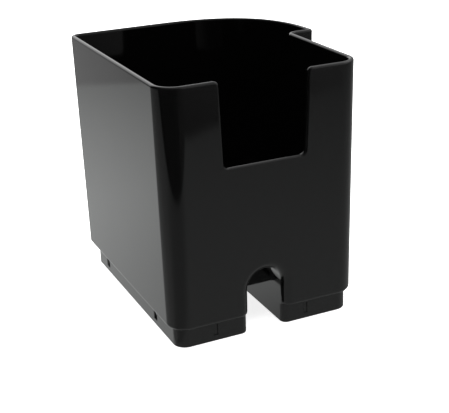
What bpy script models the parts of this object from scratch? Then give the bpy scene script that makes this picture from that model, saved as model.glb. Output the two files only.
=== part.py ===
"""Coffee-grounds bin with a clip-on base, in metres, +Z up.

The front is at -Y and the origin is under the middle of the overall box, on the
surface that the bin stands on. The bin body is a drafted bucket with a pouring
notch in its front wall, a lobe on its right and a blind tunnel under its front.
The base is a shallow tray that stands inside the body's lower edge and is held
by snap tongues, whose noses sit in the windows of the tray's wall.
"""
import math

import bmesh
import bpy

MM = 0.001

# Overall sizes
FRONT_WIDTH = 100.4 * MM
DEPTH = 128.0 * MM
HEIGHT = 127.8 * MM
BASE_HEIGHT = 10.0 * MM
LOBE_REACH = 12.9 * MM
LOBE_START = 68.2 * MM
BACK_FLAT_END = 52.7 * MM
BACK_CURVE_FULLNESS = 0.65
CURVE_LEAD = 1.2

# Corners of the footprint
FRONT_CORNER = 10.8 * MM
BACK_CORNER = 5.0 * MM
STEP_CORNER = 2.7 * MM
LOBE_CORNER = 2.4 * MM
SMALLEST_CORNER = 0.5 * MM

# Walls of the body
WALL = 2.5 * MM
FLOOR = 2.5 * MM
SIDE_DRAFT = 1.1 * MM
INNER_DRAFT = 0.3 * MM
RIM_ROUNDING = 1.1 * MM
LOWER_ROUNDING = 2.0 * MM
FLOOR_FILLET = 3.0 * MM

# The notch and the tunnel share one upright line on the front wall
FRONT_AXIS = 50.0 * MM

# Pouring notch in the front wall
NOTCH_WIDTH = 44.2 * MM
NOTCH_TAPER = 1.4 * MM
NOTCH_DROP = 40.8 * MM
NOTCH_CORNER = 2.7 * MM
NOTCH_TOP_CORNER = 2.3 * MM

# Blind tunnel under the front
TUNNEL_WIDTH = 18.5 * MM
TUNNEL_CROWN = 32.2 * MM
TUNNEL_END = 49.3 * MM

# Base tray
LEDGE = 2.7 * MM
BASE_REAR_LEDGE = 9.1 * MM
BASE_WALL = 2.0 * MM
BASE_PLATE = 2.0 * MM
BASE_CORNER = 6.4 * MM
BASE_EDGE_ROUNDING = 0.7 * MM
STANDING_RIM = 5.0 * MM
STANDING_STEP = 0.7 * MM
SLOT_LEDGE = 0.1 * MM
SLOT_MOUTH_CORNER = 3.4 * MM
SLOT_END_CORNER = 2.0 * MM

# Snap tongues and their windows: places along each side, from the front left
FRONT_WINDOWS = (23.6 * MM, 72.15 * MM)
LEFT_WINDOWS = (32.6 * MM, 102.6 * MM)
RIGHT_WINDOWS = (32.6 * MM,)
BACK_WINDOWS = (27.0 * MM,)
FRONT_WINDOW_WIDTH = 1.8 * MM
SIDE_WINDOW_WIDTH = 3.4 * MM
WINDOW_SILL = 3.2 * MM
WINDOW_BRIDGE = 1.0 * MM
TONGUE_THICKNESS = 1.6 * MM
TONGUE_SHOULDER = 1.5 * MM
NOSE_DEPTH = 1.6 * MM

# Fits
TOUCH_GAP = 0.3 * MM
BITE = 0.8 * MM
FLARE_LIFT = 0.1 * MM
NOSE_RISE = 0.2 * MM
CUT_OVERRUN = 6.0 * MM

# Steps in round stretches
CORNER_STEPS = 6
SMALL_CORNER_STEPS = 3
CURVE_STEPS = 20
EDGE_STEPS = 3
ARCH_STEPS = 16

OVERALL_WIDTH = FRONT_WIDTH + LOBE_REACH
BASE_INSET = SIDE_DRAFT + LEDGE
BASE_REAR = DEPTH - SIDE_DRAFT - BASE_REAR_LEDGE
BASE_TOP = BASE_HEIGHT - TOUCH_GAP


def clear_scene():
    for thing in list(bpy.data.objects):
        bpy.data.objects.remove(thing, do_unlink=True)


def glossy_black(name, colour, roughness):
    """Moulded gloss plastic for one sub-part."""
    material = bpy.data.materials.new(name)
    material.use_nodes = True
    shader = material.node_tree.nodes["Principled BSDF"]
    shader.inputs["Base Color"].default_value = colour
    shader.inputs["Roughness"].default_value = roughness
    shader.inputs["Metallic"].default_value = 0.0
    return material


def arc(centre_x, centre_y, radius, start, end, steps):
    """Points along an arc, ends included, angles in degrees."""
    points = []
    for step in range(steps + 1):
        angle = math.radians(start + (end - start) * step / steps)
        x = centre_x + radius * math.cos(angle)
        y = centre_y + radius * math.sin(angle)
        points.append((x, y))
    return points


def outer_corner(edge_x, edge_y, inward_x, inward_y, radius, start, steps):
    """A quarter turn, counter-clockwise, inside the corner of two edges."""
    centre_x = edge_x + inward_x * radius
    centre_y = edge_y + inward_y * radius
    return arc(centre_x, centre_y, radius, start, start + 90, steps)


def corner_after(radius, inset):
    """An outer corner's radius once its outline has moved inwards."""
    return max(radius - inset, SMALLEST_CORNER)


def back_curve(inset, rear):
    """The full curve from the lobe's right face round to the flat back.

    An inset outline's lobe corner reaches further back, so its curve starts
    past the stretch that the corner takes up.
    """
    start_x = OVERALL_WIDTH
    start_y = LOBE_START + LOBE_CORNER
    across = start_x - BACK_FLAT_END
    along = rear - start_y
    taken = max(inset + corner_after(LOBE_CORNER, inset) - LOBE_CORNER, 0)
    first = CURVE_LEAD * taken / (3 * BACK_CURVE_FULLNESS * along)
    controls_x = (start_x, start_x, BACK_FLAT_END + BACK_CURVE_FULLNESS * across, BACK_FLAT_END)
    controls_y = (start_y, start_y + BACK_CURVE_FULLNESS * along, rear, rear)
    points = []
    for step in range(1, CURVE_STEPS + 1):
        t = first + (1 - first) * step / CURVE_STEPS
        s = 1 - t
        weights = (s ** 3, 3 * s * s * t, 3 * s * t * t, t ** 3)
        slopes = (-3 * s * s, 3 * s * s - 6 * s * t, 6 * s * t - 3 * t * t, 3 * t * t)
        x = sum(w * c for w, c in zip(weights, controls_x))
        y = sum(w * c for w, c in zip(weights, controls_y))
        dx = sum(w * c for w, c in zip(slopes, controls_x))
        dy = sum(w * c for w, c in zip(slopes, controls_y))
        length = math.hypot(dx, dy)
        points.append((x - dy / length * inset, y + dx / length * inset))
    return points


def tunnel_slot(inset, front):
    """The slot that the tunnel leaves in the front edge of the base."""
    half = TUNNEL_WIDTH / 2 + SLOT_LEDGE
    left = FRONT_AXIS - half
    right = FRONT_AXIS + half
    end = TUNNEL_END + SLOT_LEDGE
    mouth = corner_after(SLOT_MOUTH_CORNER, inset)
    turn = SLOT_END_CORNER + inset
    steps = SMALL_CORNER_STEPS
    points = outer_corner(left - inset, front, -1, 1, mouth, 270, steps)
    points += arc(left + SLOT_END_CORNER, end - SLOT_END_CORNER, turn, 180, 90, steps)
    points += arc(right - SLOT_END_CORNER, end - SLOT_END_CORNER, turn, 90, 0, steps)
    points += outer_corner(right + inset, front, 1, 1, mouth, 180, steps)
    return points


def footprint(inset, rear=DEPTH, front_corner=FRONT_CORNER, slot_inset=None):
    """The outline seen from above, counter-clockwise, moved inwards by inset."""
    right = FRONT_WIDTH - inset
    far_right = OVERALL_WIDTH - inset
    front_turn = corner_after(front_corner, inset)
    lobe_turn = corner_after(LOBE_CORNER, inset)
    back_turn = corner_after(BACK_CORNER, inset)
    points = outer_corner(inset, inset, 1, 1, front_turn, 180, CORNER_STEPS)
    if slot_inset is not None:
        points += tunnel_slot(slot_inset, inset)
    points += outer_corner(right, inset, -1, 1, front_turn, 270, CORNER_STEPS)
    step_centre_x = FRONT_WIDTH + STEP_CORNER
    step_centre_y = LOBE_START - STEP_CORNER
    points += arc(step_centre_x, step_centre_y, STEP_CORNER + inset, 180, 90, SMALL_CORNER_STEPS)
    points += outer_corner(far_right, LOBE_START + inset, -1, 1, lobe_turn, 270, SMALL_CORNER_STEPS)
    points += back_curve(inset, rear)
    points += outer_corner(inset, rear - inset, 1, -1, back_turn, 90, CORNER_STEPS)
    return points


def place(x, y, z):
    """From distances off the front left corner to the part's own frame."""
    return (x - OVERALL_WIDTH / 2, y - DEPTH / 2, z)


def stack(bm, levels):
    """One closed solid whose cap is pulled through outlines at given heights."""
    outline, height = levels[0]
    ring = [bm.verts.new(place(x, y, height)) for x, y in outline]
    first = bm.faces.new(ring)
    cap = first
    for outline, height in levels[1:]:
        pulled = bmesh.ops.extrude_face_region(bm, geom=[cap])["geom"]
        if cap is not first:
            bmesh.ops.delete(bm, geom=[cap], context="FACES_ONLY")
        cap = [item for item in pulled if isinstance(item, bmesh.types.BMFace)][0]
        for vert, (x, y) in zip(cap.verts, outline):
            vert.co = place(x, y, height)
    bmesh.ops.recalc_face_normals(bm, faces=bm.faces)


def to_object(bm, name, material=None):
    """A linked object from a bmesh, shaded smooth with its hard edges kept."""
    mesh = bpy.data.meshes.new(name)
    bm.to_mesh(mesh)
    bm.free()
    mesh.shade_smooth()
    mesh.set_sharp_from_angle(angle=math.radians(35))
    thing = bpy.data.objects.new(name, mesh)
    bpy.context.scene.collection.objects.link(thing)
    if material is not None:
        mesh.materials.append(material)
    return thing


def helper(bm, name):
    """A solid that only joins or cuts another one."""
    thing = to_object(bm, name)
    thing.hide_render = True
    thing.display_type = "WIRE"
    return thing


def combine(thing, other, operation):
    boolean = thing.modifiers.new(other.name, "BOOLEAN")
    boolean.operation = operation
    boolean.object = other
    boolean.solver = "EXACT"


def add_block(bm, low, high):
    """A box between two corners, given off the front left corner."""
    low = place(*low)
    high = place(*high)
    made = bmesh.ops.create_cube(bm, size=1.0)["verts"]
    size = [b - a for a, b in zip(low, high)]
    middle = [(a + b) / 2 for a, b in zip(low, high)]
    bmesh.ops.scale(bm, vec=size, verts=made)
    bmesh.ops.translate(bm, vec=middle, verts=made)


def add_prism(bm, profile, front, back):
    """A profile of (x, z) points, drawn back from one Y to another."""
    ring = [bm.verts.new(place(x, front, z)) for x, z in profile]
    face = bm.faces.new(ring)
    pulled = bmesh.ops.extrude_face_region(bm, geom=[face])["geom"]
    moved = [item for item in pulled if isinstance(item, bmesh.types.BMVert)]
    bmesh.ops.translate(bm, vec=(0, back - front, 0), verts=moved)
    bmesh.ops.recalc_face_normals(bm, faces=bm.faces)


def arch_profile(half_width, crown, foot):
    """An arch: straight legs down to the foot, and a round crown."""
    spring = crown - half_width
    points = [(FRONT_AXIS - half_width, foot), (FRONT_AXIS + half_width, foot)]
    points += arc(FRONT_AXIS, spring, half_width, 0, 180, ARCH_STEPS)
    return points


def inset_at(height):
    """How far the drafted outer wall has moved in at a height."""
    return SIDE_DRAFT * (HEIGHT - height) / (HEIGHT - BASE_HEIGHT)


def cavity_inset_at(height):
    """How far the inner wall lies inside the rim's outline at a height."""
    fall = (HEIGHT - height) / (HEIGHT - BASE_HEIGHT)
    return WALL + (SIDE_DRAFT + INNER_DRAFT) * fall


def quarter(steps):
    """Sine and cosine pairs of a quarter turn, ends included."""
    turns = [math.pi / 2 * step / steps for step in range(steps + 1)]
    return [(math.sin(turn), math.cos(turn)) for turn in turns]


def body_levels():
    """Up the outside, over the rim and down the inside to the floor."""
    levels = []
    for sine, cosine in quarter(EDGE_STEPS):
        height = BASE_HEIGHT + LOWER_ROUNDING * (1 - cosine)
        inset = inset_at(height) + LOWER_ROUNDING * (1 - sine)
        levels.append((footprint(inset), height))
    for sine, cosine in quarter(EDGE_STEPS):
        height = HEIGHT - RIM_ROUNDING * (1 - sine)
        inset = inset_at(height) + RIM_ROUNDING * (1 - cosine)
        levels.append((footprint(inset), height))
    for sine, cosine in reversed(quarter(EDGE_STEPS)):
        height = HEIGHT - RIM_ROUNDING * (1 - sine)
        inset = cavity_inset_at(height) - RIM_ROUNDING * (1 - cosine)
        levels.append((footprint(inset), height))
    floor = BASE_HEIGHT + FLOOR
    for sine, cosine in quarter(EDGE_STEPS):
        height = floor + FLOOR_FILLET * (1 - sine)
        inset = cavity_inset_at(height) + FLOOR_FILLET * (1 - cosine)
        levels.append((footprint(inset), height))
    return levels


def tunnel_hump():
    """The tunnel's wall where it stands up inside the bin."""
    bm = bmesh.new()
    profile = arch_profile(TUNNEL_WIDTH / 2 + WALL, TUNNEL_CROWN + WALL, BASE_HEIGHT + FLOOR / 2)
    front = inset_at(BASE_HEIGHT) + WALL / 2
    add_prism(bm, profile, front, TUNNEL_END + WALL)
    return helper(bm, "hump_joiner")


def tunnel_cutter():
    bm = bmesh.new()
    profile = arch_profile(TUNNEL_WIDTH / 2, TUNNEL_CROWN, -CUT_OVERRUN)
    add_prism(bm, profile, -CUT_OVERRUN, TUNNEL_END)
    return helper(bm, "tunnel_cutter")


def notch_cutter():
    """Tapered sides, round lower corners, and flared round upper corners."""
    top_half = NOTCH_WIDTH / 2
    bottom_half = top_half - NOTCH_TAPER
    bottom = HEIGHT - NOTCH_DROP
    above = HEIGHT + CUT_OVERRUN
    flare_height = HEIGHT + FLARE_LIFT
    steps = CORNER_STEPS
    side = arc(top_half + NOTCH_TOP_CORNER, flare_height - NOTCH_TOP_CORNER, NOTCH_TOP_CORNER, 180, 90, steps)
    lower = arc(bottom_half - NOTCH_CORNER, bottom + NOTCH_CORNER, NOTCH_CORNER, -90, 0, steps)
    right = lower + side + [(top_half + NOTCH_TOP_CORNER, above)]
    left = [(-x, z) for x, z in reversed(right)]
    profile = [(FRONT_AXIS + x, z) for x, z in right + left]
    bm = bmesh.new()
    add_prism(bm, profile, -CUT_OVERRUN, FRONT_CORNER)
    return helper(bm, "notch_cutter")


def window_frames():
    """For each window: its middle on the wall's outer face, way out and width."""
    frames = []
    for x in FRONT_WINDOWS:
        frames.append(((x, BASE_INSET), (0, -1), FRONT_WINDOW_WIDTH))
    for y in LEFT_WINDOWS:
        frames.append(((BASE_INSET, y), (-1, 0), SIDE_WINDOW_WIDTH))
    for y in RIGHT_WINDOWS:
        frames.append(((FRONT_WIDTH - BASE_INSET, y), (1, 0), SIDE_WINDOW_WIDTH))
    for x in BACK_WINDOWS:
        frames.append(((x, BASE_REAR), (0, 1), SIDE_WINDOW_WIDTH))
    return frames


def add_wall_block(bm, frame, width, outer, inner, low, high):
    """A box across a wall, from a depth inside its outer face to a deeper one."""
    (x, y), (out_x, out_y), _ = frame
    side_x = abs(out_y) * width / 2
    side_y = abs(out_x) * width / 2
    near = (x - out_x * outer, y - out_y * outer)
    far = (x - out_x * inner, y - out_y * inner)
    low_x = min(near[0], far[0]) - side_x
    high_x = max(near[0], far[0]) + side_x
    low_y = min(near[1], far[1]) - side_y
    high_y = max(near[1], far[1]) + side_y
    add_block(bm, (low_x, low_y, low), (high_x, high_y, high))


def window_cutter():
    bm = bmesh.new()
    for frame in window_frames():
        top = BASE_TOP - WINDOW_BRIDGE
        add_wall_block(bm, frame, frame[2], -BITE, BASE_WALL + BITE, WINDOW_SILL, top)
    return helper(bm, "window_cutter")


def tongues():
    """Tongues under the body's floor, behind the base's wall."""
    bm = bmesh.new()
    for frame in window_frames():
        near = BASE_WALL + TOUCH_GAP
        far = near + TONGUE_THICKNESS
        width = frame[2] + 2 * TONGUE_SHOULDER
        foot = WINDOW_SILL + TOUCH_GAP
        add_wall_block(bm, frame, width, near, far, foot, BASE_HEIGHT + FLOOR / 2)
    return helper(bm, "tongue_joiner")


def noses():
    """The snap noses that stand out of the tongues into the windows."""
    bm = bmesh.new()
    for frame in window_frames():
        near = BASE_WALL - NOSE_DEPTH
        far = BASE_WALL + TOUCH_GAP + TONGUE_THICKNESS / 2
        width = frame[2] - 2 * TOUCH_GAP
        foot = WINDOW_SILL + TOUCH_GAP + NOSE_RISE
        top = BASE_TOP - WINDOW_BRIDGE - TOUCH_GAP
        add_wall_block(bm, frame, width, near, far, foot, top)
    return helper(bm, "nose_joiner")


def make_body():
    bm = bmesh.new()
    stack(bm, body_levels())
    body = to_object(bm, "bin_body", glossy_black("bin_body", (0.006, 0.006, 0.007, 1.0), 0.12))
    combine(body, tunnel_hump(), "UNION")
    combine(body, tongues(), "UNION")
    combine(body, noses(), "UNION")
    combine(body, tunnel_cutter(), "DIFFERENCE")
    combine(body, notch_cutter(), "DIFFERENCE")
    return body


def base_outline(depth_in):
    """The base's outline, moved inwards from its outer face."""
    inset = BASE_INSET + depth_in
    rear = BASE_REAR + BASE_INSET
    corner = BASE_CORNER + BASE_INSET
    return footprint(inset, rear, corner, depth_in)


def base_levels():
    """From the hollow under the plate, round the outside and into the tray."""
    levels = [(base_outline(STANDING_RIM), STANDING_STEP), (base_outline(STANDING_RIM), 0.0)]
    for sine, cosine in quarter(EDGE_STEPS):
        height = BASE_EDGE_ROUNDING * (1 - cosine)
        levels.append((base_outline(BASE_EDGE_ROUNDING * (1 - sine)), height))
    levels.append((base_outline(0.0), BASE_TOP))
    levels.append((base_outline(BASE_WALL), BASE_TOP))
    levels.append((base_outline(BASE_WALL), BASE_PLATE))
    return levels


def make_base():
    bm = bmesh.new()
    stack(bm, base_levels())
    base = to_object(bm, "base_tray", glossy_black("base_tray", (0.006, 0.006, 0.007, 1.0), 0.16))
    combine(base, window_cutter(), "DIFFERENCE")
    return base


clear_scene()
make_body()
make_base()
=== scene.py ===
import math
from collections import namedtuple

import bmesh
import bpy
from mathutils import Matrix, Vector


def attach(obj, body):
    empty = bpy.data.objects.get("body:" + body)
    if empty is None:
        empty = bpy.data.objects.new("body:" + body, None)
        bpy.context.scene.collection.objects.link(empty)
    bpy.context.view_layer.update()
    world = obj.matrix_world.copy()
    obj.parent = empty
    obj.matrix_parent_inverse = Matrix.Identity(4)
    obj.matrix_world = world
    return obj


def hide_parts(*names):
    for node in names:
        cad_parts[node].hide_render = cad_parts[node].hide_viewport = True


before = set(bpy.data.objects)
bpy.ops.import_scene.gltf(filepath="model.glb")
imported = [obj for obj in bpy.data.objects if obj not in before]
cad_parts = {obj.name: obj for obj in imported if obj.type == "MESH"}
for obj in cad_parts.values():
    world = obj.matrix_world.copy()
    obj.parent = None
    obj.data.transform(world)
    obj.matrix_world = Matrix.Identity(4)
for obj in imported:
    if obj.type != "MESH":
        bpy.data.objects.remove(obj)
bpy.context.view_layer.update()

MM = 0.001

# Sizes of the two mouldings, in metres, off the front left corner of the rim
FRONT_WIDTH = 100.4 * MM
LOBE_REACH = 12.9 * MM
OVERALL_WIDTH = FRONT_WIDTH + LOBE_REACH
DEPTH = 128.0 * MM
HEIGHT = 127.8 * MM
BASE_HEIGHT = 10.0 * MM
LOBE_START = 68.2 * MM
BACK_FLAT_END = 52.7 * MM
BACK_FULLNESS = 0.65
CURVE_LEAD = 1.2
FRONT_CORNER = 10.8 * MM
BACK_CORNER = 5.0 * MM
STEP_CORNER = 2.7 * MM
LOBE_CORNER = 2.4 * MM
SMALLEST_CORNER = 0.5 * MM

WALL = 2.5 * MM
FLOOR = 2.5 * MM
SIDE_DRAFT = 1.1 * MM
INNER_DRAFT = 0.3 * MM
FLOOR_FILLET = 3.0 * MM
LIP_ROUNDING = 1.15 * MM
LOWER_ROUNDING = 2.0 * MM

FRONT_AXIS = 50.0 * MM
NOTCH_WIDTH = 44.2 * MM
NOTCH_TAPER = 1.4 * MM
NOTCH_DROP = 40.8 * MM
NOTCH_CORNER = 2.7 * MM
NOTCH_TOP_CORNER = 2.3 * MM

TUNNEL_WIDTH = 18.5 * MM
TUNNEL_CROWN = 32.2 * MM
TUNNEL_END = 49.3 * MM
MOUTH_ROUNDING = 4.6 * MM
HUMP_ROUNDING = 2.0 * MM

LEDGE = 2.7 * MM
BASE_REAR_LEDGE = 9.1 * MM
BASE_INSET = SIDE_DRAFT + LEDGE
BASE_REAR = DEPTH - SIDE_DRAFT - BASE_REAR_LEDGE
BASE_TOP = 9.94 * MM
BASE_WALL = 2.0 * MM
BASE_PLATE = 2.0 * MM
BASE_CORNER = 6.4 * MM
BASE_EDGE = 0.7 * MM
STANDING_RIM = 5.0 * MM
STANDING_STEP = 0.7 * MM
SLOT_LEDGE = 0.1 * MM
SLOT_MOUTH_CORNER = 3.4 * MM
SLOT_END_CORNER = 2.0 * MM

WINDOW_SILL = 3.2 * MM
WINDOW_TOP = 8.7 * MM
TOUCH_GAP = 0.3 * MM
FRONT_WINDOW_WIDTH = 1.8 * MM
SIDE_WINDOW_WIDTH = 3.4 * MM
FRONT_WINDOWS = (23.6 * MM, 72.15 * MM)
LEFT_WINDOWS = (32.6 * MM, 102.6 * MM)
RIGHT_WINDOWS = (32.6 * MM,)
BACK_WINDOWS = (27.0 * MM,)
TONGUE_THICKNESS = 1.6 * MM
TONGUE_SHOULDER = 1.5 * MM
NOSE_RECESS = 0.5 * MM
NOSE_TAPER = 0.8 * MM
NOSE_KNEE = 5.7 * MM
NOSE_LEAN = 0.3 * MM
NOSE_GAP = 0.06 * MM
WINDOW_EDGE = 0.55 * MM

Window = namedtuple("Window", "x y out_x out_y width")

# The finish of the plastic
ABS_IOR = 1.54
HAZE_PATCH = 25.0 * MM
# A real hairline is some hundredths of a millimetre wide, so it is drawn wide enough to show
HAIRLINE_WIDTH = 0.5 * MM
HAIRLINE_LENGTH = 30.0 * MM
HAIRLINE_DULLING = 0.02
RUB_PATCH = 6.0 * MM
RUBBED_COLOUR = "101010"

# The camera, in degrees and metres, and the studio
CAMERA_LENS = 83.72
CAMERA_SENSOR = 36.0
CAMERA_AZIMUTH = 24.251
CAMERA_ELEVATION = -21.789
CAMERA_ROLL = -2.003
CAMERA_PLACE = (-208.16 * MM, -463.47 * MM, 244.67 * MM)
GLOW_CORNER = (-57.0 * MM, -55.0 * MM, 0.0)
TABLE_LEVEL = 0.36
ROOM_LEVEL = 0.008
FLOOR_GLOW = 0.85
FLOOR_HALF_SIZE = 8.0
SOFTBOX_SIZE = 3.0
SOFTBOX_HEIGHT = 2.5
SOFTBOX_POWER = 120.0
# Each of the room's lights: its azimuth, elevation and reach in degrees, and its strength
ROOM_LIGHTS = [(1, 19, 36, 1.25), (-5, -18, 25, 0.5), (136, 12, 40, 0.38), (170, -15, 22, 0.05),
               (75, 55, 83, 0.5), (82, 47, 28, 0.8)]

# Settings that many shader nodes share
SMOOTH = {"interpolation_type": "SMOOTHSTEP"}
DOT = {"operation": "DOT_PRODUCT"}
TIMES = {"operation": "MULTIPLY"}
PLUS_TIMES = {"operation": "MULTIPLY_ADD"}

# How finely curves are drawn
CORNER_STEPS = 20
SMALL_STEPS = 8
CURVE_STEPS = 72
EDGE_STEPS = 6
ARCH_STEPS = 48

# How far cutting tools run past what they cut, and how close counts as the same or as near
OVERRUN = 6.0 * MM
TRAY_OVERRUN = 1.0 * MM
SAME_PLACE = 0.01 * MM
NEAR = 0.05 * MM
MERGED = 0.002 * MM

# Turns between faces, in radians: still flat, a real corner, and a corner that shades sharp
FLAT_TURN = math.radians(0.04)
CORNER_TURN = math.radians(25)
SHARP_TURN = math.radians(32)


# ---------------------------------------------------------------- outlines

def arc(centre_x, centre_y, radius, start, end, steps):
    """Points along an arc, ends included, angles in degrees."""
    points = []
    for step in range(steps + 1):
        angle = math.radians(start + (end - start) * step / steps)
        points.append((centre_x + radius * math.cos(angle), centre_y + radius * math.sin(angle)))
    return points


def turn(edge_x, edge_y, inward_x, inward_y, radius, start, steps):
    """A rounded outer corner, counter-clockwise, between edges along X and Y that meet at a place."""
    return arc(edge_x + inward_x * radius, edge_y + inward_y * radius, radius, start, start + 90, steps)


def corner_after(radius, inset):
    """An outer corner's radius once its outline has moved inwards."""
    return max(radius - inset, SMALLEST_CORNER)


def back_curve(inset, rear):
    """From the lobe's right face round to the flat back, as one full cubic curve."""
    start_y = LOBE_START + LOBE_CORNER
    along = rear - start_y
    handle_x = BACK_FLAT_END + BACK_FULLNESS * (OVERALL_WIDTH - BACK_FLAT_END)
    handle_y = start_y + BACK_FULLNESS * along
    ends = [Vector((OVERALL_WIDTH, start_y)), Vector((OVERALL_WIDTH, handle_y)),
            Vector((handle_x, rear)), Vector((BACK_FLAT_END, rear))]
    taken = max(inset + corner_after(LOBE_CORNER, inset) - LOBE_CORNER, 0)
    first = CURVE_LEAD * taken / (3 * BACK_FULLNESS * along)
    points = []
    for step in range(1, CURVE_STEPS + 1):
        t = first + (1 - first) * step / CURVE_STEPS
        s = 1 - t
        at = s ** 3 * ends[0] + 3 * s * s * t * ends[1] + 3 * s * t * t * ends[2] + t ** 3 * ends[3]
        run = s * s * (ends[1] - ends[0]) + 2 * s * t * (ends[2] - ends[1]) + t * t * (ends[3] - ends[2])
        run.normalize()
        points.append((at.x - run.y * inset, at.y + run.x * inset))
    return points


def tunnel_slot(inset, front):
    """The slot in the base tray, round which its wall turns."""
    half = TUNNEL_WIDTH / 2 + SLOT_LEDGE
    left = FRONT_AXIS - half
    right = FRONT_AXIS + half
    end = TUNNEL_END + SLOT_LEDGE
    mouth = corner_after(SLOT_MOUTH_CORNER, inset)
    bend = SLOT_END_CORNER + inset
    points = turn(left - inset, front, -1, 1, mouth, 270, SMALL_STEPS)
    points += arc(left + SLOT_END_CORNER, end - SLOT_END_CORNER, bend, 180, 90, SMALL_STEPS)
    points += arc(right - SLOT_END_CORNER, end - SLOT_END_CORNER, bend, 90, 0, SMALL_STEPS)
    points += turn(right + inset, front, 1, 1, mouth, 180, SMALL_STEPS)
    return points


def footprint(inset, rear=DEPTH, front_corner=FRONT_CORNER, slot_inset=None):
    """The outline from above, counter-clockwise, moved inwards by inset.

    With a slot inset it also turns round the tray's slot, which grows by that much.
    """
    front_turn = corner_after(front_corner, inset)
    lobe_turn = corner_after(LOBE_CORNER, inset)
    back_turn = corner_after(BACK_CORNER, inset)
    points = turn(inset, inset, 1, 1, front_turn, 180, CORNER_STEPS)
    if slot_inset is not None:
        points += tunnel_slot(slot_inset, inset)
    points += turn(FRONT_WIDTH - inset, inset, -1, 1, front_turn, 270, CORNER_STEPS)
    points += arc(FRONT_WIDTH + STEP_CORNER, LOBE_START - STEP_CORNER, STEP_CORNER + inset,
                  180, 90, SMALL_STEPS)
    points += turn(OVERALL_WIDTH - inset, LOBE_START + inset, -1, 1, lobe_turn, 270, SMALL_STEPS)
    points += back_curve(inset, rear)
    points += turn(inset, rear - inset, 1, -1, back_turn, 90, CORNER_STEPS)
    return points


def place(x, y, z):
    """A place off the front left corner of the rim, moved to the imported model's own origin."""
    return (x - OVERALL_WIDTH / 2, y - DEPTH / 2, z)


# ---------------------------------------------------------------- shaping

def stack(levels):
    """One closed shell whose cap is extruded through outlines at their heights."""
    bm = bmesh.new()
    outline, height = levels[0]
    first = bm.faces.new([bm.verts.new(place(x, y, height)) for x, y in outline])
    cap = first
    for outline, height in levels[1:]:
        pulled = bmesh.ops.extrude_face_region(bm, geom=[cap])["geom"]
        if cap is not first:
            # the old cap is left inside the shell
            bmesh.ops.delete(bm, geom=[cap], context="FACES_ONLY")
        cap = [item for item in pulled if isinstance(item, bmesh.types.BMFace)][0]
        for vert, (x, y) in zip(cap.verts, outline):
            vert.co = place(x, y, height)
    bmesh.ops.recalc_face_normals(bm, faces=bm.faces)
    return bm


def prism(profile, front, back):
    """A profile of (x, z) points drawn back from one Y to another."""
    bm = bmesh.new()
    face = bm.faces.new([bm.verts.new(place(x, front, z)) for x, z in profile])
    pulled = bmesh.ops.extrude_face_region(bm, geom=[face])["geom"]
    moved = [item for item in pulled if isinstance(item, bmesh.types.BMVert)]
    bmesh.ops.translate(bm, vec=(0, back - front, 0), verts=moved)
    bmesh.ops.recalc_face_normals(bm, faces=bm.faces)
    return bm


def blocks(corners):
    """Boxes, each between a low and a high corner."""
    bm = bmesh.new()
    for low, high in corners:
        low = Vector(place(*low))
        high = Vector(place(*high))
        made = bmesh.ops.create_cube(bm, size=1.0)["verts"]
        bmesh.ops.scale(bm, vec=high - low, verts=made)
        bmesh.ops.translate(bm, vec=(low + high) / 2, verts=made)
    return bm


def link(bm, name):
    """A new object in the scene, made of the solid."""
    mesh = bpy.data.meshes.new(name)
    bm.to_mesh(mesh)
    bm.free()
    thing = bpy.data.objects.new(name, mesh)
    bpy.context.scene.collection.objects.link(thing)
    return thing


def combine(thing, bm, operation):
    """Joins or cuts an object with a solid, and keeps the result as its mesh."""
    other = link(bm, "tool")
    boolean = thing.modifiers.new("tool", "BOOLEAN")
    boolean.operation = operation
    boolean.object = other
    boolean.solver = "EXACT"
    depsgraph = bpy.context.evaluated_depsgraph_get()
    made = bpy.data.meshes.new_from_object(thing.evaluated_get(depsgraph))
    thing.modifiers.clear()
    thing.data = made
    bpy.data.objects.remove(other, do_unlink=True)


def opened(thing):
    """The object's mesh as a bmesh, its flat areas made single faces again."""
    bm = bmesh.new()
    bm.from_mesh(thing.data)
    bmesh.ops.remove_doubles(bm, verts=bm.verts, dist=MERGED)
    bmesh.ops.dissolve_limit(bm, angle_limit=FLAT_TURN, verts=bm.verts, edges=bm.edges)
    return bm


def bevel(bm, edges, width, segments):
    """Rounds edges to a radius."""
    bmesh.ops.bevel(bm, geom=edges, offset=width, offset_type="OFFSET", segments=segments, profile=0.5,
                    affect="EDGES", clamp_overlap=False, material=-1, loop_slide=True)


def store(bm, thing):
    """Puts an opened mesh back in its object."""
    thing.data.clear_geometry()
    bm.to_mesh(thing.data)
    bm.free()


def local(vert):
    """A vertex's place off the front left corner of the rim."""
    return (vert.co.x + OVERALL_WIDTH / 2, vert.co.y + DEPTH / 2, vert.co.z)


def edges_where(bm, test):
    """Edges whose two ends both pass the test, and that turn a real corner."""
    found = []
    for edge in bm.edges:
        if len(edge.link_faces) == 2 and all(test(*local(vert)) for vert in edge.verts):
            if edge.calc_face_angle(0) > CORNER_TURN:
                found.append(edge)
    return found


# ---------------------------------------------------------------- the bin body

def inset_at(height):
    """How far the body's outer face has drawn in at a height."""
    return SIDE_DRAFT * (HEIGHT - height) / (HEIGHT - BASE_HEIGHT)


def cavity_inset_at(height):
    """How far in the cavity's face is at a height."""
    fall = (HEIGHT - height) / (HEIGHT - BASE_HEIGHT)
    return WALL + (SIDE_DRAFT + INNER_DRAFT) * fall


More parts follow.
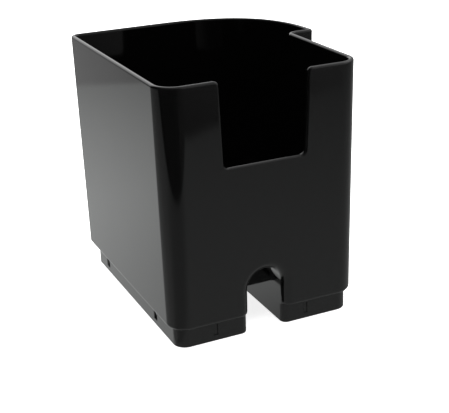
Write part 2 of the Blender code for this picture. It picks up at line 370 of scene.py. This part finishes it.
def body_levels():
    """Up the outside, over the rim, down the cavity and round its floor fillet."""
    levels = [(footprint(inset_at(BASE_HEIGHT)), BASE_HEIGHT), (footprint(0), HEIGHT),
              (footprint(WALL), HEIGHT)]
    floor = BASE_HEIGHT + FLOOR
    for step in range(EDGE_STEPS + 1):
        angle = math.pi / 2 * step / EDGE_STEPS
        height = floor + FLOOR_FILLET * (1 - math.sin(angle))
        inset = cavity_inset_at(height) + FLOOR_FILLET * (1 - math.cos(angle))
        levels.append((footprint(inset), height))
    return levels


def arch(half_width, crown, foot):
    """The tunnel's profile: straight legs under a half circle."""
    points = [(FRONT_AXIS - half_width, foot), (FRONT_AXIS + half_width, foot)]
    points += arc(FRONT_AXIS, crown - half_width, half_width, 0, 180, ARCH_STEPS)
    return points


def hump():
    """The tunnel's wall inside the bin, with its far end rounded over."""
    profile = arch(TUNNEL_WIDTH / 2 + WALL, TUNNEL_CROWN + WALL, BASE_HEIGHT + FLOOR / 2)
    far = TUNNEL_END + WALL
    bm = prism(profile, inset_at(BASE_HEIGHT) + WALL / 2, far)
    foot = BASE_HEIGHT + FLOOR
    ends = edges_where(bm, lambda x, y, z: y > far - SAME_PLACE)
    above_floor = [edge for edge in ends if max(local(vert)[2] for vert in edge.verts) > foot]
    bevel(bm, above_floor, HUMP_ROUNDING, EDGE_STEPS)
    return bm


def notch():
    """The tapering cutter for the gap in the front wall."""
    wide = NOTCH_WIDTH / 2 + NOTCH_TAPER / NOTCH_DROP * OVERRUN
    narrow = NOTCH_WIDTH / 2 - NOTCH_TAPER
    top = HEIGHT + OVERRUN
    sill = HEIGHT - NOTCH_DROP
    profile = [(FRONT_AXIS - wide, top), (FRONT_AXIS - narrow, sill),
               (FRONT_AXIS + narrow, sill), (FRONT_AXIS + wide, top)]
    return prism(profile, -OVERRUN, FRONT_CORNER)


def windows():
    """The tray's windows: each one's middle on the outer face, its way out and its width."""
    found = [Window(x, BASE_INSET, 0, -1, FRONT_WINDOW_WIDTH) for x in FRONT_WINDOWS]
    found += [Window(BASE_INSET, y, -1, 0, SIDE_WINDOW_WIDTH) for y in LEFT_WINDOWS]
    found += [Window(FRONT_WIDTH - BASE_INSET, y, 1, 0, SIDE_WINDOW_WIDTH) for y in RIGHT_WINDOWS]
    found += [Window(x, BASE_REAR, 0, 1, SIDE_WINDOW_WIDTH) for x in BACK_WINDOWS]
    return found


def boxes_at_windows(wider, outer, inner, low, high):
    """A box at each window, between two depths in the tray's wall and between two heights."""
    corners = []
    for x, y, out_x, out_y, width in windows():
        side_x = abs(out_y) * (width + wider) / 2
        side_y = abs(out_x) * (width + wider) / 2
        xs = (x - out_x * outer, x - out_x * inner)
        ys = (y - out_y * outer, y - out_y * inner)
        corners.append(((min(xs) - side_x, min(ys) - side_y, low),
                        (max(xs) + side_x, max(ys) + side_y, high)))
    return blocks(corners)


def tongues():
    """The plates that hang from the body's floor, each behind a window."""
    near = BASE_WALL + TOUCH_GAP
    foot = WINDOW_SILL + TOUCH_GAP
    top = BASE_HEIGHT + FLOOR / 2
    return boxes_at_windows(2 * TONGUE_SHOULDER, near, near + TONGUE_THICKNESS, foot, top)


def noses():
    """The tongues' hooked ends, which fill the windows.

    The front ones lean back a little, and the side ones draw in below a knee.
    """
    far = BASE_WALL + TOUCH_GAP + TONGUE_THICKNESS / 2
    foot = WINDOW_SILL + NOSE_GAP
    bm = boxes_at_windows(-2 * NOSE_GAP, NOSE_RECESS, far, foot, WINDOW_TOP - NOSE_GAP)
    everything = bm.verts[:] + bm.edges[:] + bm.faces[:]
    bmesh.ops.bisect_plane(bm, geom=everything, plane_co=(0, 0, NOSE_KNEE), plane_no=(0, 0, 1))
    skin = BASE_INSET + NOSE_RECESS
    for vert in bm.verts:
        x, y, z = local(vert)
        if z < foot + SAME_PLACE and abs(x - skin) < SAME_PLACE:
            vert.co.x += NOSE_TAPER
        if z < foot + SAME_PLACE and abs(x - (FRONT_WIDTH - skin)) < SAME_PLACE:
            vert.co.x -= NOSE_TAPER
        if abs(y - skin) < SAME_PLACE:
            vert.co.y += NOSE_LEAN * (z - foot) / (WINDOW_TOP - foot)
    return bm


def bin_body():
    """The bin: tapering walls, a notch in the front, a tunnel through its foot, and its clips."""
    body = link(stack(body_levels()), "bin_body_shell")
    combine(body, hump(), "UNION")
    tunnel = prism(arch(TUNNEL_WIDTH / 2, TUNNEL_CROWN, -OVERRUN), -OVERRUN, TUNNEL_END)
    combine(body, tunnel, "DIFFERENCE")
    combine(body, notch(), "DIFFERENCE")
    bm = opened(body)
    sill = HEIGHT - NOTCH_DROP
    half_up = HEIGHT - NOTCH_DROP / 2

    def across(edge):
        """Runs level through the wall's thickness."""
        a, b = (local(vert) for vert in edge.verts)
        return max(abs(a[0] - b[0]), abs(a[2] - b[2])) < NEAR and abs(a[1] - b[1]) > WALL / 2

    def at_notch(x, y, z):
        return y < FRONT_CORNER and abs(x - FRONT_AXIS) < NOTCH_WIDTH / 2 + NEAR and z > sill - NEAR

    corners = [edge for edge in edges_where(bm, at_notch) if across(edge)]
    upper = [edge for edge in corners if local(edge.verts[0])[2] > half_up]
    bevel(bm, upper, NOTCH_TOP_CORNER, SMALL_STEPS)
    corners = [edge for edge in edges_where(bm, at_notch) if across(edge)]
    lower = [edge for edge in corners if local(edge.verts[0])[2] < half_up]
    bevel(bm, lower, NOTCH_CORNER, SMALL_STEPS)

    def on_lip(x, y, z):
        """On the rim, or on the notch's edge."""
        half = NOTCH_WIDTH / 2 + NOTCH_TOP_CORNER + NEAR
        in_notch = y < FRONT_CORNER and abs(x - FRONT_AXIS) < half and z > sill - SAME_PLACE
        return z > HEIGHT - SAME_PLACE or in_notch

    bevel(bm, edges_where(bm, on_lip), LIP_ROUNDING, EDGE_STEPS)

    leg = TUNNEL_WIDTH / 2 + NEAR

    def at_mouth(x, y, z):
        """Round the tunnel's mouth, on the front face."""
        return y < SIDE_DRAFT + NEAR and abs(x - FRONT_AXIS) < leg and z < sill

    bevel(bm, edges_where(bm, at_mouth), MOUTH_ROUNDING, SMALL_STEPS)

    past_mouth = inset_at(BASE_HEIGHT) + MOUTH_ROUNDING - NEAR

    def outer_foot(x, y, z):
        """On the body's lower edge, but not along the tunnel's straight walls."""
        in_tunnel = abs(x - FRONT_AXIS) < leg and past_mouth < y < TUNNEL_END + NEAR
        return z < BASE_HEIGHT + SAME_PLACE and not in_tunnel

    bevel(bm, edges_where(bm, outer_foot), LOWER_ROUNDING, EDGE_STEPS)
    store(bm, body)
    combine(body, tongues(), "UNION")
    combine(body, noses(), "UNION")
    return body


# ---------------------------------------------------------------- the base tray

def tray_outline(depth_in):
    """The tray's outline from above, at a depth in its wall."""
    return footprint(BASE_INSET + depth_in, BASE_REAR + BASE_INSET, BASE_CORNER + BASE_INSET, depth_in)


def tray_levels():
    """From the hollow underneath, round the standing edge, up the wall and down to the plate."""
    levels = [(tray_outline(STANDING_RIM), STANDING_STEP), (tray_outline(STANDING_RIM), 0.0)]
    for step in range(EDGE_STEPS + 1):
        angle = math.pi / 2 * step / EDGE_STEPS
        outline = tray_outline(BASE_EDGE * (1 - math.sin(angle)))
        levels.append((outline, BASE_EDGE * (1 - math.cos(angle))))
    levels += [(tray_outline(0.0), BASE_TOP), (tray_outline(BASE_WALL), BASE_TOP),
               (tray_outline(BASE_WALL), BASE_PLATE)]
    return levels


def base_tray():
    """The tray that the bin stands in: a low wall with windows, slotted for the tunnel."""
    tray = link(stack(tray_levels()), "base_tray_shell")
    cutters = boxes_at_windows(0, -TRAY_OVERRUN, BASE_WALL + TRAY_OVERRUN, WINDOW_SILL, WINDOW_TOP)
    combine(tray, cutters, "DIFFERENCE")
    bm = opened(tray)

    def on_window_edge(edge):
        """An outer edge of a window: on the tray's skin, and on the window's own outline."""
        ends = [local(vert) for vert in edge.verts]
        heights = [z for _, _, z in ends]
        if min(heights) < WINDOW_SILL - SAME_PLACE or max(heights) > WINDOW_TOP + SAME_PLACE:
            return False
        for x, y, out_x, out_y, width in windows():
            off_skin = max(abs((a - x) * out_x + (b - y) * out_y) for a, b, _ in ends)
            off_middle = max(abs((a - x) * out_y + (b - y) * out_x) for a, b, _ in ends)
            if off_skin < SAME_PLACE and off_middle < width / 2 + SAME_PLACE:
                return True
        return False

    bevel(bm, [edge for edge in bm.edges if on_window_edge(edge)], WINDOW_EDGE, SMALL_STEPS // 2)
    store(bm, tray)
    return tray


# ---------------------------------------------------------------- finish

def linear(hex_colour):
    """An sRGB hex colour as linear red, green, blue and a full alpha."""
    channels = [int(hex_colour[at:at + 2], 16) / 255 for at in (0, 2, 4)]
    return [c / 12.92 if c <= 0.04045 else ((c + 0.055) / 1.055) ** 2.4 for c in channels] + [1.0]


def node(tree, kind, settings=None, inputs=None):
    """Adds one shader node: settings are its properties, inputs its values or what feeds it.

    Where a node feeds an input, its first output in use does.
    """
    made = tree.nodes.new(kind)
    for name, value in (settings or {}).items():
        setattr(made, name, value)
    for key, value in (inputs or {}).items():
        if isinstance(value, bpy.types.Node):
            value = next(output for output in value.outputs if output.enabled)
        if isinstance(value, bpy.types.NodeSocket):
            tree.links.new(value, made.inputs[key])
        else:
            made.inputs[key].default_value = value
    return made


def ripples(tree, spot, layers):
    """A relief of soft noise layers, each given by how long its ripples are and how high."""
    normal = None
    for length, height in layers:
        wave = node(tree, "ShaderNodeTexNoise", None, {
            "Vector": spot, "Scale": 1 / length, "Detail": 1.0})
        relief = {"Height": wave, "Distance": height, "Strength": 1.0}
        if normal:
            relief["Normal"] = normal
        normal = node(tree, "ShaderNodeBump", None, relief)
    return normal


def hairlines(tree, spot, turned):
    """Where wiping has left fine rubs, 0 to 1: noise drawn out into threads at an angle."""
    drawn = node(tree, "ShaderNodeMapping", None, {
        "Vector": spot, "Rotation": [math.radians(angle) for angle in turned],
        "Scale": (1 / HAIRLINE_WIDTH, 1 / HAIRLINE_WIDTH, 1 / HAIRLINE_LENGTH)})
    threads = node(tree, "ShaderNodeTexNoise", None, {"Vector": drawn, "Scale": 1.0, "Detail": 1.0})
    return node(tree, "ShaderNodeMapRange", SMOOTH, {
        "Value": threads, "From Min": 0.62, "From Max": 0.78})


def rub(tree, spot, unworn, worn):
    """Where handling has dulled a band between two heights, 0 to 1, broken into patches."""
    height = node(tree, "ShaderNodeSeparateXYZ", None, {"Vector": spot}).outputs["Z"]
    band = node(tree, "ShaderNodeMapRange", SMOOTH, {
        "Value": height, "From Min": unworn, "From Max": worn})
    patches = node(tree, "ShaderNodeTexNoise", None, {
        "Vector": spot, "Scale": 1 / RUB_PATCH, "Detail": 3.0})
    broken = node(tree, "ShaderNodeMapRange", SMOOTH, {
        "Value": patches, "From Min": 0.4, "From Max": 0.65})
    return node(tree, "ShaderNodeMath", TIMES, {0: band, 1: broken})


def black_abs(name, colour, polish, relief, wiped, rubbed):
    """A moulded black ABS.

    Polish is its best and worst roughness, which a thin haze runs between. Relief is its ripples,
    the long ones first. Wiped gives each set of hairlines its angles. Rubbed gives each worn band
    the height where wear starts, the height where it is full, and the roughness that it adds.
    """
    material = bpy.data.materials.new(name)
    material.use_nodes = True
    tree = material.node_tree
    shader = tree.nodes["Principled BSDF"]
    shader.inputs["IOR"].default_value = ABS_IOR
    spot = node(tree, "ShaderNodeTexCoord").outputs["Object"]
    haze = node(tree, "ShaderNodeTexNoise", None, {
        "Vector": spot, "Scale": 1 / HAZE_PATCH, "Detail": 3.0})
    best, worst = polish
    roughness = node(tree, "ShaderNodeMapRange", SMOOTH, {
        "Value": haze, "From Min": 0.35, "From Max": 0.65, "To Min": best, "To Max": worst})
    for turned in wiped:
        lines = hairlines(tree, spot, turned)
        roughness = node(tree, "ShaderNodeMath", PLUS_TIMES, {
            0: lines, 1: HAIRLINE_DULLING, 2: roughness})
    paint = linear(colour)
    for unworn, worn, dulling in rubbed:
        wear = rub(tree, spot, unworn, worn)
        roughness = node(tree, "ShaderNodeMath", PLUS_TIMES, {
            0: wear, 1: dulling, 2: roughness})
        # a mix of colours takes them at its inputs 6 and 7, and gives one at its output 2
        paint = node(tree, "ShaderNodeMix", {"data_type": "RGBA"}, {
            "Factor": wear, 6: paint, 7: linear(RUBBED_COLOUR)})
    tree.links.new(paint.outputs[2], shader.inputs["Base Color"])
    tree.links.new(roughness.outputs["Value"], shader.inputs["Roughness"])
    tree.links.new(ripples(tree, spot, relief).outputs["Normal"], shader.inputs["Normal"])
    return material


def gloss_black_abs():
    """Black ABS, injection moulded against polished steel, as the bin body is.

    It is nearly black and mirrors the room almost sharply. The walls sank a little as they cooled,
    so long reflections waver, and a faint orange peel softens them. Use leaves a thin haze, fine
    hairlines from wiping, and a duller, greyer rub on the rim and round the lower edge.
    """
    return black_abs("gloss_black_abs", "060606", (0.048, 0.072),
                     relief=[(38 * MM, 0.035 * MM), (2.6 * MM, 0.0016 * MM)],
                     wiped=[(24, 35, 0), (-50, -28, 0)],
                     rubbed=[(HEIGHT - 1.5 * MM, HEIGHT, 0.06),
                             (BASE_HEIGHT + 2.5 * MM, BASE_HEIGHT, 0.05)])


def satin_black_abs():
    """The same ABS from a mould with a duller polish, as the base tray is.

    It looks a touch less sharp than the body, with a fine grain that breaks up small reflections,
    drawn coarser than it is so that it shows. Its foot is scuffed where it slides on the bar.
    """
    return black_abs("satin_black_abs", "070707", (0.07, 0.1),
                     relief=[(30 * MM, 0.02 * MM), (0.9 * MM, 0.0012 * MM)],
                     wiped=[(70, 12, 0)], rubbed=[(2.2 * MM, 0.4 * MM, 0.18)])


def finish(thing, material, cad_node):
    """Gives a piece its material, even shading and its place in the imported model."""
    thing.data.materials.clear()
    thing.data.materials.append(material)
    thing.data.shade_smooth()
    thing.data.set_sharp_from_angle(angle=SHARP_TURN)
    weighted = thing.modifiers.new("even_normals", "WEIGHTED_NORMAL")
    weighted.keep_sharp = True
    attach(thing, "root")
    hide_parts(cad_node)


# ---------------------------------------------------------------- studio

def towards(azimuth, elevation=0.0):
    """A unit direction: azimuth in degrees from +Y towards +X, elevation above the floor."""
    flat = math.cos(math.radians(elevation))
    return Vector((math.sin(math.radians(azimuth)) * flat, math.cos(math.radians(azimuth)) * flat,
                   math.sin(math.radians(elevation))))


def camera():
    """A long lens, a little above the rim, off the front left corner."""
    data = bpy.data.cameras.new("camera")
    data.sensor_width = CAMERA_SENSOR
    data.lens = CAMERA_LENS
    data.clip_start = 0.01
    data.clip_end = 50.0
    eye = bpy.data.objects.new("camera", data)
    forward = towards(CAMERA_AZIMUTH, CAMERA_ELEVATION)
    level = towards(CAMERA_AZIMUTH + 90)
    upright = level.cross(forward)
    roll = math.radians(CAMERA_ROLL)
    right = math.cos(roll) * level + math.sin(roll) * upright
    up = math.cos(roll) * upright - math.sin(roll) * level
    pose = Matrix((right, up, -forward)).transposed().to_4x4()
    pose.translation = Vector(CAMERA_PLACE)
    eye.matrix_world = pose
    bpy.context.scene.collection.objects.link(eye)
    bpy.context.scene.camera = eye


def sheet(name, half_size, height):
    """A square level sheet."""
    bm = bmesh.new()
    bmesh.ops.create_grid(bm, x_segments=1, y_segments=1, size=half_size)
    bmesh.ops.translate(bm, vec=(0, 0, height), verts=bm.verts)
    return link(bm, name)


def white_floor():
    """Matt white paper, the plain floor that the eye sees. Gloss mirrors the table card instead, which
    glows with painted light and shade.
    """
    floor = sheet("floor", FLOOR_HALF_SIZE, 0.0)
    material = bpy.data.materials.new("white_paper")
    material.use_nodes = True
    shader = material.node_tree.nodes["Principled BSDF"]
    shader.inputs["Base Color"].default_value = linear("f0f0f0")
    shader.inputs["Roughness"].default_value = 0.9
    shader.inputs["Specular IOR Level"].default_value = 0.0
    shader.inputs["Emission Color"].default_value = linear("ffffff")
    shader.inputs["Emission Strength"].default_value = FLOOR_GLOW
    floor.data.materials.append(material)
    floor.visible_glossy = False


def table_glow():
    """What the gloss mirrors below: a card seen only in reflections, glowing with the painted light and
    shade of a pale matt table, lit from the back and dimmer nearer the front.

    Its bright part starts at the object's front left corner and spreads towards the back. It ends in
    the dark room towards the camera, and where the paper curves up at the back.
    """
    card = sheet("table_glow", 3.0, -1.0 * MM)
    material = bpy.data.materials.new("painted_table_reflection")
    material.use_nodes = True
    tree = material.node_tree
    tree.nodes.clear()
    spot = node(tree, "ShaderNodeTexCoord").outputs["Object"]
    from_corner = node(tree, "ShaderNodeVectorMath", {"operation": "SUBTRACT"}, {0: spot, 1: GLOW_CORNER})
    heading = node(tree, "ShaderNodeVectorMath", {"operation": "NORMALIZE"}, {0: from_corner})
    away = node(tree, "ShaderNodeVectorMath", {"operation": "LENGTH"}, {0: from_corner})
    reach = node(tree, "ShaderNodeVectorMath", {"operation": "LENGTH"}, {0: spot})
    # the table glows more, the nearer its heading is to the light at the back
    ahead = node(tree, "ShaderNodeVectorMath", DOT, {0: heading, 1: towards(-10)})
    backlight = node(tree, "ShaderNodeMapRange", None, {
        "Value": ahead, "From Min": -0.2, "To Max": 0.7})
    # a soft change along a direction: what is measured, the direction, where it runs from and to
    changes = {"shadow_edge": (heading, 64, (-0.11, 0.11), (0, 1)),
               "near_shade": (heading, -145, (0.6, 1), (1, 0.65)),
               "front_end": (spot, 197, (308 * MM, 336 * MM), (1, 0)),
               "near_left_end": (spot, 211, (250 * MM, 272 * MM), (1, 0)),
               "back_end": (spot, -26.6, (441 * MM, 463 * MM), (1, 0))}
    level = {}
    for name, (measured, direction, (start, end), (first, last)) in changes.items():
        distance = node(tree, "ShaderNodeVectorMath", DOT, {0: measured, 1: towards(direction)})
        level[name] = node(tree, "ShaderNodeMapRange", SMOOTH, {
            "Value": distance, "From Min": start, "From Max": end, "To Min": first, "To Max": last})
    grown = node(tree, "ShaderNodeMapRange", SMOOTH, {
        "Value": away, "From Max": 230 * MM, "To Min": 0.5, "To Max": 1.0})
    fade = node(tree, "ShaderNodeMapRange", SMOOTH, {
        "Value": reach, "From Max": 800 * MM, "To Min": 1.0, "To Max": 0.3})
    near = node(tree, "ShaderNodeMath", TIMES, {0: backlight, 1: level["shadow_edge"]})
    glow = node(tree, "ShaderNodeMath", PLUS_TIMES, {0: near, 1: grown, 2: TABLE_LEVEL})
    shaded = node(tree, "ShaderNodeMath", TIMES, {0: fade, 1: level["near_shade"]})
    brightness = node(tree, "ShaderNodeMath", TIMES, {0: glow, 1: shaded})
    between_ends = node(tree, "ShaderNodeMath", TIMES, {0: level["front_end"], 1: level["back_end"]})
    on_table = node(tree, "ShaderNodeMath", TIMES, {0: between_ends, 1: level["near_left_end"]})
    # painted reflection: the card glows with a lit table's light and shade, and only gloss rays see it
    painted_glow = node(tree, "ShaderNodeEmission", None, {"Color": linear("fafcfb"), "Strength": brightness})
    clear = node(tree, "ShaderNodeBsdfTransparent")
    seen = node(tree, "ShaderNodeMixShader", None, {0: on_table, 1: clear, 2: painted_glow})
    node(tree, "ShaderNodeOutputMaterial", None, {"Surface": seen})
    card.data.materials.append(material)
    card.visible_camera = False
    card.visible_diffuse = False
    card.visible_shadow = False
    card.visible_transmission = False


def room():
    """A dark room with soft light from the back, the right and overhead."""
    world = bpy.data.worlds.new("studio")
    bpy.context.scene.world = world
    world.use_nodes = True
    tree = world.node_tree
    view = node(tree, "ShaderNodeTexCoord").outputs["Generated"]
    total = ROOM_LEVEL
    for azimuth, elevation, reach, strength in ROOM_LIGHTS:
        facing = node(tree, "ShaderNodeVectorMath", DOT, {0: view, 1: towards(azimuth, elevation)})
        glow = node(tree, "ShaderNodeMapRange", SMOOTH, {
            "Value": facing, "From Min": math.cos(math.radians(reach)), "To Max": strength})
        total = node(tree, "ShaderNodeMath", {"operation": "ADD"}, {0: total, 1: glow})
    background = tree.nodes["Background"]
    background.inputs["Color"].default_value = (1, 1, 1, 1)
    tree.links.new(total.outputs["Value"], background.inputs["Strength"])


def softbox():
    """A broad overhead light that whitens the floor without showing in the gloss."""
    data = bpy.data.lights.new("softbox", "AREA")
    data.shape = "SQUARE"
    data.size = SOFTBOX_SIZE
    data.energy = SOFTBOX_POWER
    box = bpy.data.objects.new("softbox", data)
    box.location = (0, 0, SOFTBOX_HEIGHT)
    box.visible_glossy = False
    bpy.context.scene.collection.objects.link(box)


finish(bin_body(), gloss_black_abs(), "bin_body")
finish(base_tray(), satin_black_abs(), "base_tray")
camera()
white_floor()
table_glow()
room()
softbox()
bpy.context.scene.view_settings.view_transform = "Standard"
